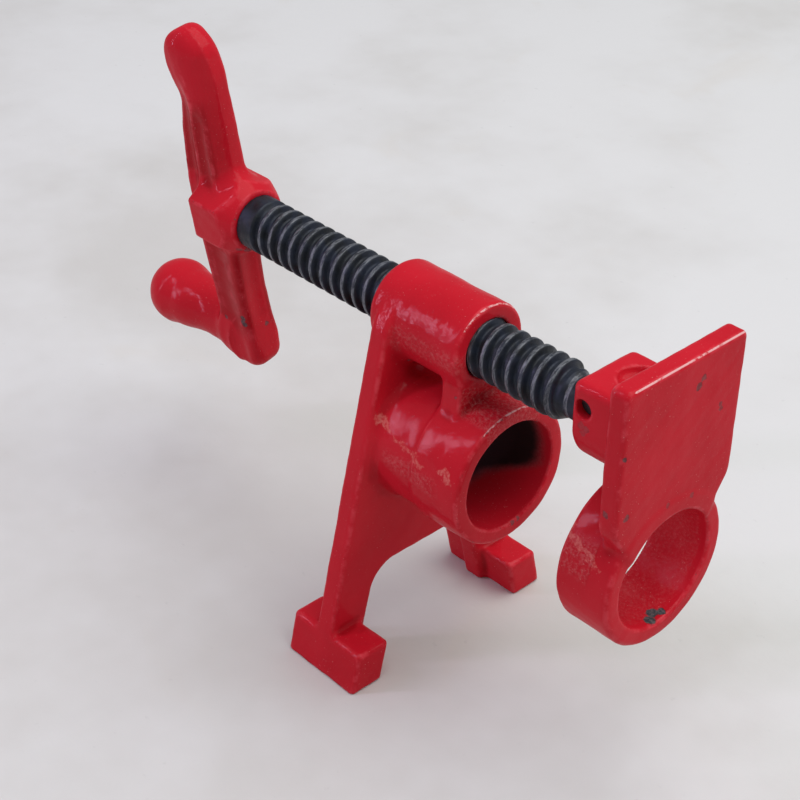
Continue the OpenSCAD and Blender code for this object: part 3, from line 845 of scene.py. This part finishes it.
def black_oxide(name, look):
    """Black oxide with a bluish film, pale along the crests of the thread: rubbed wear and a painted highlight."""
    s = Shader(name)
    at = s.place()
    base = s.mix(s.band(s.noise(at, 260, 3), 0.35, 0.65), look.black, look.blue)
    scratch = s.stretched(at, (500.0, 130.0, 130.0))
    scuff = s.band(s.noise(scratch, 3.2, 4, 0.7), 0.38, 0.62, 0.1, 1.0)
    # Pale along the crests: rubbed wear and a painted highlight.
    worn = s.times(s.band(s.attribute("crest"), 0.9, 1.0), scuff)
    base = s.mix(s.times(worn, 0.6), base, look.worn)
    s.set(Base_Color=base, Metallic=0.35, Specular_IOR_Level=0.35)
    s.set(Roughness=s.band(s.noise(at, 700, 3), 0.3, 0.7, 0.36, 0.55))
    fine = s.bump(s.noise(scratch, 6, 3), 0.00006, 0.6)
    s.set(Normal=s.bump(s.noise(at, 1800, 2), 0.00005, 0.5, fine))
    return s.material


def pin_steel(name, look):
    """Plain drawn steel, a little dull."""
    s = Shader(name)
    streak = s.noise(s.stretched(s.place(), (2000.0, 120.0, 2000.0)), 1.0, 3)
    s.set(Base_Color=s.mix(streak, look.pin, look.pin_streak), Metallic=0.9)
    s.set(Roughness=s.band(streak, 0.2, 0.8, 0.35, 0.6))
    s.set(Normal=s.bump(streak, 0.00003, 0.5))
    return s.material


def pale_floor(name, look):
    """Pale trowelled concrete with faint stains."""
    s = Shader(name)
    at = s.place()
    cloud = s.noise(at, 5.5, 5, 0.6)
    patch = s.noise(at, 17, 4, 0.6, 0.6)
    base = s.mix(s.band(cloud, 0.38, 0.68), look.floor, look.stain)
    base = s.mix(s.band(patch, 0.58, 0.8, 0.0, 0.35), base, look.patch)
    pit = s.band(s.noise(at, 330, 3, 0.6), 0.66, 0.78, 0.0, 0.3)
    s.set(Base_Color=s.mix(pit, base, look.pit))
    s.set(Roughness=s.band(cloud, 0.3, 0.7, 0.75, 0.9))
    s.set(Normal=s.bump(s.noise(at, 240, 4), 0.0004, 0.35))
    return s.material


# ---- Operators ----

# From a casting's box to the edge of its grid, half the width of the crank's grid, and the gap
# between the crank's hub and the screw's spigot, in mm
GRID_MARGIN = 1.5
CRANK_GRID = 12
HUB_PLAY = 0.03


def grid_box(low, high):
    """The corners of a grid round a box of the frame, in mm."""
    return [v * MM - GRID_MARGIN for v in low], [v * MM + GRID_MARGIN for v in high]


class Step:
    """What the operators share: each one's work is in its build."""

    def execute(self, context):
        self.build(context.scene)
        return {"FINISHED"}


def show_piece(piece, body, slot, *nodes):
    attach(piece, body)
    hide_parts(*nodes)


class CLAMP_OT_head(Step, bpy.types.Operator):
    """Build the head casting: plate, feet, both bosses, web and rib."""
    bl_idname = "clamp.head"
    bl_label = "Head casting"

    def build(self, scene):
        s = in_mm(scene.clamp_head)
        s.side_lean = scene.clamp_head.side_lean
        paint = enamel("head_enamel", scene.clamp_paint, HEAD_CHIPS, HEAD_SCUFFS)
        piece = cast_piece("head_casting_painted", head_field(s), head_marks(s),
                           grid_box(HEAD_LOW, HEAD_HIGH), s.cell, paint)
        show_piece(piece, "head", "head_paint", "head_casting")


class CLAMP_OT_jaw(Step, bpy.types.Operator):
    """Build the jaw casting: pressure plate, ring and socket block."""
    bl_idname = "clamp.jaw"
    bl_label = "Jaw casting"

    def build(self, scene):
        s = in_mm(scene.clamp_jaw)
        paint = enamel("jaw_enamel", scene.clamp_paint, JAW_CHIPS, JAW_SCUFFS)
        piece = cast_piece("jaw_painted", jaw_field(s), jaw_marks(s), grid_box(JAW_LOW, JAW_HIGH),
                           s.cell, paint)
        show_piece(piece, "jaw", "jaw_paint", "jaw")


class CLAMP_OT_crank(Step, bpy.types.Operator):
    """Build the crank: hexagonal hub, two arms and the handle."""
    bl_idname = "clamp.crank"
    bl_label = "Crank"

    def build(self, scene):
        s = in_mm(scene.clamp_crank)
        s.hub_hole_r = scene.clamp_screw.spigot_r * MM + HUB_PLAY
        low = [CRANK_LOW.x * MM - GRID_MARGIN, -CRANK_GRID, -s.lower_l - GRID_MARGIN]
        high = [CRANK_HIGH.x * MM + GRID_MARGIN, CRANK_GRID, s.upper_l + GRID_MARGIN]
        turn = Matrix.Rotation(scene.clamp_crank.roll, 4, "X")
        turn = Matrix.Translation((0, 0, SCREW_RISE)) @ turn
        paint = enamel("crank_enamel", scene.clamp_paint, CRANK_CHIPS)
        piece = cast_piece("crank_painted", crank_field(s), crank_marks(s), (low, high), s.cell,
                           paint, turn)
        show_piece(piece, "spindle", "crank_paint", "crank")


def thread_tree(names):
    """A sheet wound round the screw turn after turn, its radius following the thread.

    It gives back the tree, its input sockets and the node that sets the material.
    """
    t = Nodes(bpy.data.node_groups.new("clamp_screw_thread", "GeometryNodeTree"))
    face = t.tree.interface
    face.new_socket("Geometry", in_out="OUTPUT", socket_type="NodeSocketGeometry")
    sockets = {name: face.new_socket(name, in_out="INPUT", socket_type="NodeSocketFloat").identifier
               for name in names}
    entry = t.tree.nodes.new("NodeGroupInput")
    (pitch, back, front, rise, crest_r, depth, collar_back, shoulder, thread_end, runout, tip_r,
     spigot_r, crest_x, crest_angle, steps, rows) = (entry.outputs[name] for name in names)
    turns = t.calc("CEIL", t.plus(t.over(t.minus(front, back), pitch), SPARE_TURNS))
    sheet = t.add("GeometryNodeMeshGrid", {
        "Size X": 1.0, "Size Y": turns, "Vertices X": t.plus(rows, 1.0),
        "Vertices Y": t.plus(t.times(turns, steps), 1.0)})
    spot = t.add("SeparateXYZ", {0: t.add("GeometryNodeInputPosition").outputs[0]})
    across = spot.outputs["X"]
    along = t.plus(spot.outputs["Y"], t.times(turns, 0.5))
    angle = t.plus(t.times(along, 2 * math.pi), crest_angle)
    # The helix starts half the spare turns behind the back face, in step with the crest.
    behind = t.plus(t.over(t.minus(crest_x, back), pitch), SPARE_TURNS / 2)
    start = t.minus(crest_x, t.times(t.calc("CEIL", behind), pitch))
    x = t.plus(start, t.times(t.plus(along, across), pitch))
    height = t.band(t.calc("ABSOLUTE", across), CREST_TOP, CREST_FOOT, 1.0, 0.0)
    # Grooves fade in at the shoulder and the whole thread runs out at its front.
    fade = t.ramp(x, shoulder, t.plus(shoulder, FADE_L))
    groove = t.times(t.times(depth, fade), t.minus(1.0, height))
    end_r = t.ramp(x, t.minus(thread_end, runout), thread_end, crest_r, tip_r)
    radius = t.least(t.minus(crest_r, groove), end_r)
    collar_r = t.ramp(x, collar_back, t.plus(collar_back, COLLAR_L), spigot_r, crest_r)
    radius = t.least(radius, collar_r)
    # Past either face the sheet closes to the axis.
    closing = t.times(pitch, 0.25)
    rear = t.ramp(x, t.minus(back, closing), back, 0.0, WIDE_R)
    fore = t.ramp(x, front, t.plus(front, closing), WIDE_R, 0.0)
    radius = t.least(radius, t.least(rear, fore))
    wound = t.add("CombineXYZ", {
        "X": t.least(t.most(x, back), front),
        "Y": t.times(radius, t.calc("COSINE", angle)),
        "Z": t.plus(rise, t.times(radius, t.calc("SINE", angle)))})
    node = t.add("GeometryNodeStoreNamedAttribute", {
        "Geometry": sheet.outputs["Mesh"], "Name": "crest", "Value": t.times(height, fade)},
        data_type="FLOAT", domain="POINT")
    for kind, inputs in (("SetPosition", {"Position": wound.outputs[0]}),
                         ("MergeByDistance", {"Distance": MERGE_WITHIN}),
                         ("SetShadeSmooth", {}), ("SetMaterial", {})):
        node = t.add("GeometryNode" + kind, {"Geometry": node.outputs[0], **inputs})
    out = t.tree.nodes.new("NodeGroupOutput")
    t.plug(out.inputs[0], node.outputs[0])
    return t.tree, sockets, node


def plain_mesh(piece):
    """Puts the piece's evaluated mesh in place of its modifiers."""
    context = bpy.context
    context.view_layer.update()
    made = bpy.data.meshes.new_from_object(piece.evaluated_get(context.evaluated_depsgraph_get()))
    piece.modifiers.clear()
    piece.data = made


class CLAMP_OT_screw(Step, bpy.types.Operator):
    """Wind the clamp screw from its pitch, depth and ends."""
    bl_idname = "clamp.screw"
    bl_label = "Clamp screw"

    def build(self, scene):
        s = scene.clamp_screw
        sizes = {
            "Pitch": SCREW_PITCH, "Back": SCREW_LOW.x, "Front": SCREW_HIGH.x, "Height": SCREW_RISE,
            "Crest radius": s.crest_r, "Depth": s.depth, "Shoulder back": s.shoulder_back,
            "Shoulder": s.shoulder_front, "Thread end": s.thread_end, "Run-out": s.runout,
            "Tip radius": s.tip_r, "Spigot radius": s.spigot_r, "Crest place": s.crest_x,
            "Crest angle": s.crest_angle, "Steps": STEPS_PER_TURN, "Rows": ROWS_PER_TURN}
        tree, sockets, dressed = thread_tree(sizes)
        dressed.inputs["Material"].default_value = black_oxide("screw_black", scene.clamp_steel)
        piece = add_object("clamp_screw_black", bpy.data.meshes.new("clamp_screw_black"))
        modifier = piece.modifiers.new("thread", "NODES")
        modifier.node_group = tree
        for name, value in sizes.items():
            modifier[sockets[name]] = float(value)
        plain_mesh(piece)
        show_piece(piece, "spindle", "screw_steel", "clamp_screw")


class CLAMP_OT_pins(Step, bpy.types.Operator):
    """Give the two pins their steel."""
    bl_idname = "clamp.pins"
    bl_label = "Pins"

    def build(self, scene):
        material = pin_steel("pin_steel_plain", scene.clamp_steel)
        for name in ("crank_pin", "jaw_pin"):
            node = frame["nodes"][name]
            node.data.materials.clear()
            node.data.materials.append(material)


# Each lamp's place and size in metres, its power in watts and its tint
LAMPS = {
    "sky_patch": ((-0.62, -0.72, 0.50), (0.04, 1.05), 3.2, (0.84, 0.68, 1.0)),
    "overhead": ((0.42, 0.35, 1.3), (1.7, 1.7), 22.5, (0.99, 1.0, 0.985)),
}
LAMPS_AIM = Vector((-0.03, 0, 0))


def area_light(name, at, size, power, tint):
    lamp = bpy.data.lights.new(name, "AREA")
    lamp.shape = "RECTANGLE"
    lamp.size, lamp.size_y = size
    lamp.energy = power
    lamp.color = tint
    stand = add_object(name, lamp)
    stand.location = at
    stand.rotation_euler = (LAMPS_AIM - Vector(at)).to_track_quat("-Z", "Y").to_euler()


def sky(look):
    """Soft light from all round, and the pale backdrop that the camera sees in its place."""
    world = bpy.data.worlds.new("sky")
    world.use_nodes = True
    w = Nodes(world.node_tree)
    light = w.tree.nodes["Background"]
    w.plug(light.inputs["Color"], rgba(look.sky))
    w.plug(light.inputs["Strength"], look.sky_strength)
    seen = w.add("Background", {"Color": rgba(look.backdrop)})
    ray = w.add("LightPath").outputs["Is Camera Ray"]
    mixed = w.add("MixShader", {0: ray, 1: light.outputs[0], 2: seen.outputs[0]})
    w.plug(w.tree.nodes["World Output"].inputs["Surface"], mixed.outputs[0])
    return world


class CLAMP_OT_stage(Step, bpy.types.Operator):
    """Set the floor, the soft light and the camera."""
    bl_idname = "clamp.stage"
    bl_label = "Stage"

    def build(self, scene):
        look = scene.clamp_stage
        mesh = bpy.data.meshes.new("floor")
        corners = [(x * look.reach, y * look.reach, HEAD_LOW.z)
                   for x, y in ((-1, -1), (1, -1), (1, 1), (-1, 1))]
        mesh.from_pydata(corners, [], [(0, 1, 2, 3)])
        mesh.materials.append(pale_floor("floor_pale", look))
        floor = add_object("floor", mesh)

        right = Vector(look.camera_right).normalized()
        up = Vector(look.camera_up)
        up = (up - right * up.dot(right)).normalized()
        data = bpy.data.cameras.new("camera")
        data.lens = look.lens
        data.sensor_width = 36
        data.clip_start = 0.01
        camera = add_object("camera", data)
        axes = Matrix((right, up, right.cross(up))).transposed()
        camera.matrix_world = Matrix.Translation(look.camera_at) @ axes.to_4x4()
        scene.camera = camera

        for name, (at, size, power, tint) in LAMPS.items():
            area_light(name, at, size, power, tint)
        scene.world = sky(look)
        scene.view_settings.view_transform = "Standard"


class CLAMP_PT_sidebar(bpy.types.Panel):
    """Lists the steps that build the clamp head."""
    bl_label = "Pipe Clamp Head"
    bl_idname = "CLAMP_PT_sidebar"
    bl_space_type = "VIEW_3D"
    bl_region_type = "UI"
    bl_category = "Pipe Clamp"

    def draw(self, context):
        for operator in OPERATORS:
            self.layout.operator(operator.bl_idname)
        for name in GROUPS:
            group = getattr(context.scene, name)
            box = self.layout.box()
            box.label(text=name.replace("_", " ").title())
            for key in type(group).__annotations__:
                box.prop(group, key)


GROUPS = {
    "clamp_head": HeadSizes, "clamp_jaw": JawSizes, "clamp_crank": CrankSizes,
    "clamp_screw": ScrewSizes, "clamp_paint": PaintLook, "clamp_steel": SteelLook,
    "clamp_stage": StageLook,
}
OPERATORS = (CLAMP_OT_stage, CLAMP_OT_head, CLAMP_OT_jaw, CLAMP_OT_crank, CLAMP_OT_screw,
             CLAMP_OT_pins)


def register():
    for name, group in GROUPS.items():
        bpy.utils.register_class(group)
        setattr(bpy.types.Scene, name, bpy.props.PointerProperty(type=group))
    for cls in (*OPERATORS, CLAMP_PT_sidebar):
        bpy.utils.register_class(cls)


def unregister():
    for cls in reversed((*OPERATORS, CLAMP_PT_sidebar)):
        bpy.utils.unregister_class(cls)
    for name, group in reversed(GROUPS.items()):
        delattr(bpy.types.Scene, name)
        bpy.utils.unregister_class(group)


def main():
    register()
    for operator in OPERATORS:
        group, name = operator.bl_idname.split(".")
        getattr(getattr(bpy.ops, group), name)()


if __name__ == "__main__":
    main()
